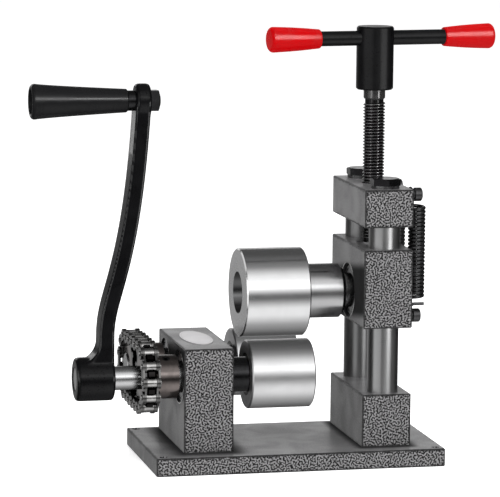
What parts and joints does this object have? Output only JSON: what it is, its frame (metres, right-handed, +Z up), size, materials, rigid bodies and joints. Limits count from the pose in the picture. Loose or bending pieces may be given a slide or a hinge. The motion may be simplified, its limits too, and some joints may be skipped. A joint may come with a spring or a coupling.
{
  "type": "ring bending tool",
  "caption": "Hand-cranked roll bender: chain-driven lower rollers and a free upper roller on a slide that a T-handled screw presses down along columns on a steel base.",
  "frame": {"origin": "middle of the base plate's underside", "axes": "+X from the crank to the columns, +Y to the back, +Z up"},
  "size_m": [0.3869, 0.128, 0.3485],
  "materials": {
    "hammered_paint": "hammered",
    "ground_steel": "ground",
    "turned_steel": "turned",
    "bearing_steel": "polished",
    "silver_plate": "satin",
    "black_oxide": "black oxide",
    "spring_wire": "black oxide",
    "chain_steel": "oiled",
    "sprocket_steel": "oiled",
    "gloss_black": "gloss",
    "satin_black": "satin",
    "screw_thread": "black oxide",
    "grip_plastic": "satin",
    "red_plastic": "gloss"
  },
  "bodies": {
    "frame": {"base_plate": "hammered_paint", "bearing_block": "hammered_paint", "bearing_block_screws": "black_oxide", "oval_plate": "silver_plate", "foot_block": "hammered_paint", "foot_block_screws": "black_oxide", "front_column": "ground_steel", "rear_column": "ground_steel", "top_block": "hammered_paint", "top_bolts": "black_oxide", "top_washers": "black_oxide", "upper_spring_posts": "black_oxide", "front_spring": "spring_wire", "rear_spring": "spring_wire", "block_bearing_rings": "bearing_steel", "block_bearing_balls": "bearing_steel", "chain_outer_plates": "chain_steel", "chain_inner_plates": "chain_steel", "chain_offset_link": "chain_steel", "chain_rollers": "chain_steel", "chain_pins": "chain_steel"},
    "front_drive": {"front_shaft": "ground_steel", "front_sprocket": "sprocket_steel", "front_sprocket_screw": "black_oxide", "front_inner_rings": "bearing_steel", "front_spacer": "ground_steel", "front_roller": "turned_steel", "front_roller_washer": "black_oxide", "front_roller_screw": "black_oxide", "crank_arm": "gloss_black", "crank_set_screw": "black_oxide", "grip_spindle": "black_oxide", "grip_nut": "black_oxide"},
    "grip": {"crank_grip": "grip_plastic"},
    "rear_drive": {"rear_shaft": "ground_steel", "rear_sprocket": "sprocket_steel", "rear_sprocket_screw": "black_oxide", "rear_inner_rings": "bearing_steel", "rear_spacer": "ground_steel", "rear_roller": "turned_steel", "rear_roller_washer": "black_oxide", "rear_roller_screw": "black_oxide"},
    "carriage": {"slide_block": "hammered_paint", "lower_spring_posts": "black_oxide", "thrust_cup": "ground_steel", "slide_bearing_rings": "bearing_steel", "slide_bearing_balls": "bearing_steel"},
    "upper_roll": {"upper_arbor": "turned_steel", "upper_inner_rings": "bearing_steel", "upper_roller": "turned_steel", "upper_roller_washer": "black_oxide", "upper_roller_screw": "black_oxide", "arbor_circlip": "black_oxide"},
    "screw": {"lead_screw": "screw_thread", "handle_hub": "satin_black", "hub_pin": "ground_steel", "handle_bar": "satin_black", "handle_grips": "red_plastic"}
  },
  "joints": [
    {"name": "crank_turn", "type": "hinge", "parent": "frame", "child": "front_drive", "pos_m": [0, -0.02488, 0.0728], "axis": [1, 0, 0], "continuous": true, "deforming": ["chain_outer_plates", "chain_inner_plates", "chain_offset_link", "chain_rollers", "chain_pins"]},
    {"name": "grip_spin", "type": "hinge", "parent": "front_drive", "child": "grip", "pos_m": [-0.2115, -0.02488, 0.2928], "axis": [1, 0, 0], "continuous": true},
    {"name": "rear_turn", "type": "hinge", "parent": "frame", "child": "rear_drive", "pos_m": [0, 0.03227, 0.0728], "axis": [1, 0, 0], "continuous": true},
    {"name": "carriage_slide", "type": "slide", "parent": "frame", "child": "carriage", "axis": [0, 0, 1], "range_m": [-0.0045, 0.017], "deforming": ["front_spring", "rear_spring"]},
    {"name": "upper_roll_spin", "type": "hinge", "parent": "carriage", "child": "upper_roll", "pos_m": [0, 0.0037, 0.13428], "axis": [1, 0, 0], "continuous": true},
    {"name": "screw_turn", "type": "hinge", "parent": "carriage", "child": "screw", "pos_m": [0.0726, 0.0037, 0.17418], "axis": [0, 0, 1], "range_deg": [-650, 2450]}
  ],
  "couplings": [
    {"joint": "rear_turn", "follows": "crank_turn", "ratio": 1},
    {"joint": "screw_turn", "follows": "carriage_slide", "rad_per_m": 2513.3}
  ]
}
